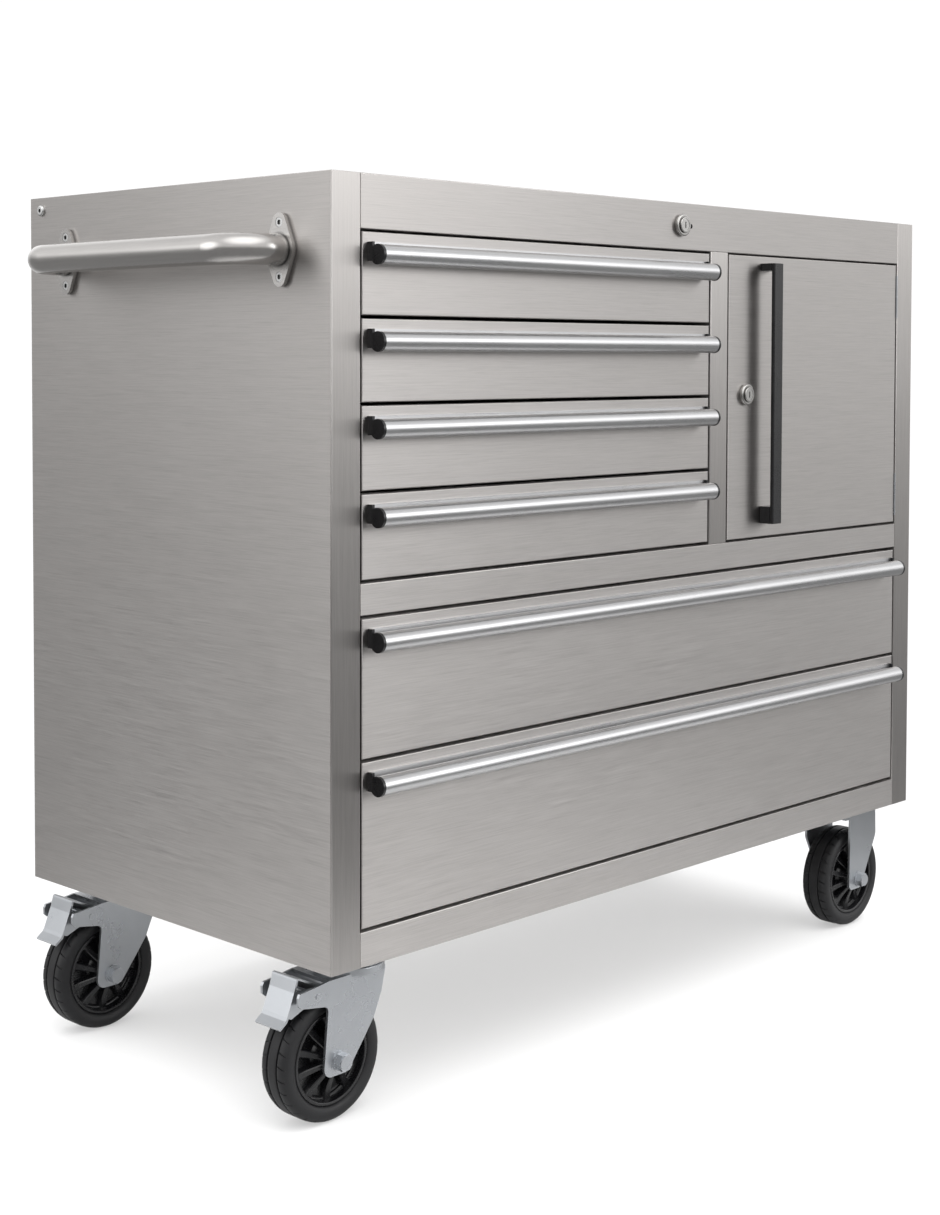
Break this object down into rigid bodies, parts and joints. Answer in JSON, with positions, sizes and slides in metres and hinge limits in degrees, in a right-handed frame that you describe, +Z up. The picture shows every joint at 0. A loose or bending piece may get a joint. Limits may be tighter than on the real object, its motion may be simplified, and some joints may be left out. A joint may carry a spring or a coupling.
{
  "type": "rolling tool chest",
  "caption": "Wheeled stainless steel tool cabinet with drawers, a side-hung cupboard door, bar handles, a tubular push handle and braked swivel castors.",
  "frame": {"origin": "on the floor under the middle of the object's bounding box", "axes": "+X to the right seen from the front, -Y out of the drawer fronts, +Z up"},
  "size_m": [1.0736, 0.5167, 0.91],
  "materials": {
    "steel_horizontal_grain": "brushed, grain running horizontally",
    "steel_vertical_grain": "brushed, grain running vertically",
    "satin_aluminium": "satin anodised",
    "satin_tube": "satin polished tube",
    "zinc_plate": "bright zinc plated",
    "fasteners": "plain machined",
    "nickel": "nickel plated",
    "black_plastic": "moulded, fine grain",
    "black_anodised": "black anodised",
    "wheel_plastic": "moulded polypropylene",
    "tyre": "black rubber"
  },
  "bodies": {
    "cabinet": {"back_panel": "steel_horizontal_grain", "bottom_panel": "steel_horizontal_grain", "castor_plate_bolts": "fasteners", "cupboard_shelf": "steel_horizontal_grain", "drawer_lock_body": "nickel", "fixed_castor_axles": "zinc_plate", "fixed_castor_brackets": "zinc_plate", "front_rails": "steel_horizontal_grain", "hinge_frame_leaves": "zinc_plate", "left_front_post": "steel_vertical_grain", "left_side_panel": "steel_horizontal_grain", "mid_shelf": "steel_horizontal_grain", "panel_screws": "fasteners", "partition_panel": "steel_vertical_grain", "push_handle": "satin_tube", "push_handle_screws": "fasteners", "right_front_post": "steel_vertical_grain", "right_side_panel": "steel_horizontal_grain", "slide_outer_rails": "zinc_plate", "slide_uprights": "zinc_plate", "swivel_castor_plates": "zinc_plate", "top_panel": "steel_horizontal_grain"},
    "drawer_1": {"drawer_1_box": "steel_horizontal_grain", "drawer_1_handle": "satin_aluminium", "drawer_1_handle_caps": "black_plastic"},
    "drawer_2": {"drawer_2_box": "steel_horizontal_grain", "drawer_2_handle": "satin_aluminium", "drawer_2_handle_caps": "black_plastic"},
    "drawer_3": {"drawer_3_box": "steel_horizontal_grain", "drawer_3_handle": "satin_aluminium", "drawer_3_handle_caps": "black_plastic"},
    "drawer_4": {"drawer_4_box": "steel_horizontal_grain", "drawer_4_handle": "satin_aluminium", "drawer_4_handle_caps": "black_plastic"},
    "drawer_5": {"drawer_5_box": "steel_horizontal_grain", "drawer_5_handle": "satin_aluminium", "drawer_5_handle_caps": "black_plastic"},
    "drawer_6": {"drawer_6_box": "steel_horizontal_grain", "drawer_6_handle": "satin_aluminium", "drawer_6_handle_caps": "black_plastic"},
    "door": {"door_panel": "steel_horizontal_grain", "door_liner": "steel_horizontal_grain", "door_handle": "black_anodised", "door_handle_blocks": "black_anodised", "door_lock_body": "nickel", "door_hinge_leaves": "zinc_plate"},
    "door_lock_plug": {"door_lock_plug": "nickel"},
    "drawer_lock_plug": {"drawer_lock_plug": "nickel"},
    "front_left_castor": {"front_left_fork": "zinc_plate"},
    "front_left_wheel": {"front_left_wheel_centre": "wheel_plastic", "front_left_tyre": "tyre"},
    "front_left_brake": {"front_left_brake_pedal": "zinc_plate"},
    "front_right_wheel": {"front_right_wheel_centre": "wheel_plastic", "front_right_tyre": "tyre"},
    "rear_left_castor": {"rear_left_fork": "zinc_plate"},
    "rear_left_wheel": {"rear_left_wheel_centre": "wheel_plastic", "rear_left_tyre": "tyre"},
    "rear_left_brake": {"rear_left_brake_pedal": "zinc_plate"},
    "rear_right_wheel": {"rear_right_wheel_centre": "wheel_plastic", "rear_right_tyre": "tyre"}
  },
  "joints": [
    {"name": "drawer_1_slide", "type": "slide", "parent": "cabinet", "child": "drawer_1", "axis": [0, -1, 0], "range_m": [0, 0.33]},
    {"name": "drawer_2_slide", "type": "slide", "parent": "cabinet", "child": "drawer_2", "axis": [0, -1, 0], "range_m": [0, 0.33]},
    {"name": "drawer_3_slide", "type": "slide", "parent": "cabinet", "child": "drawer_3", "axis": [0, -1, 0], "range_m": [0, 0.33]},
    {"name": "drawer_4_slide", "type": "slide", "parent": "cabinet", "child": "drawer_4", "axis": [0, -1, 0], "range_m": [0, 0.33]},
    {"name": "drawer_5_slide", "type": "slide", "parent": "cabinet", "child": "drawer_5", "axis": [0, -1, 0], "range_m": [0, 0.33]},
    {"name": "drawer_6_slide", "type": "slide", "parent": "cabinet", "child": "drawer_6", "axis": [0, -1, 0], "range_m": [0, 0.33]},
    {"name": "door_hinge", "type": "hinge", "parent": "cabinet", "child": "door", "pos_m": [0.4968, -0.23595, 0.692], "axis": [0, 0, 1], "range_deg": [0, 110]},
    {"name": "door_lock_turn", "type": "hinge", "parent": "door", "child": "door_lock_plug", "pos_m": [0.1729, -0.22765, 0.6952], "axis": [0, 1, 0], "range_deg": [0, 90]},
    {"name": "drawer_lock_turn", "type": "hinge", "parent": "cabinet", "child": "drawer_lock_plug", "pos_m": [0.0505, -0.22765, 0.8852], "axis": [0, 1, 0], "range_deg": [0, 90]},
    {"name": "front_left_swivel", "type": "hinge", "parent": "cabinet", "child": "front_left_castor", "pos_m": [-0.3938, -0.17565, 0.14], "axis": [0, 0, 1], "continuous": true},
    {"name": "front_left_wheel_spin", "type": "hinge", "parent": "front_left_castor", "child": "front_left_wheel", "pos_m": [-0.4303, -0.17565, 0.0625], "axis": [0, 1, 0], "continuous": true},
    {"name": "front_left_brake_press", "type": "hinge", "parent": "front_left_castor", "child": "front_left_brake", "pos_m": [-0.4578, -0.17565, 0.131], "axis": [0, -1, 0], "range_deg": [0, 18]},
    {"name": "front_right_wheel_spin", "type": "hinge", "parent": "cabinet", "child": "front_right_wheel", "pos_m": [0.4722, -0.17565, 0.0625], "axis": [0, 1, 0], "continuous": true},
    {"name": "rear_left_swivel", "type": "hinge", "parent": "cabinet", "child": "rear_left_castor", "pos_m": [-0.3938, 0.19535, 0.14], "axis": [0, 0, 1], "continuous": true},
    {"name": "rear_left_wheel_spin", "type": "hinge", "parent": "rear_left_castor", "child": "rear_left_wheel", "pos_m": [-0.4303, 0.19535, 0.0625], "axis": [0, 1, 0], "continuous": true},
    {"name": "rear_left_brake_press", "type": "hinge", "parent": "rear_left_castor", "child": "rear_left_brake", "pos_m": [-0.4578, 0.19535, 0.131], "axis": [0, -1, 0], "range_deg": [0, 18]},
    {"name": "rear_right_wheel_spin", "type": "hinge", "parent": "cabinet", "child": "rear_right_wheel", "pos_m": [0.4722, 0.19535, 0.0625], "axis": [0, 1, 0], "continuous": true}
  ]
}
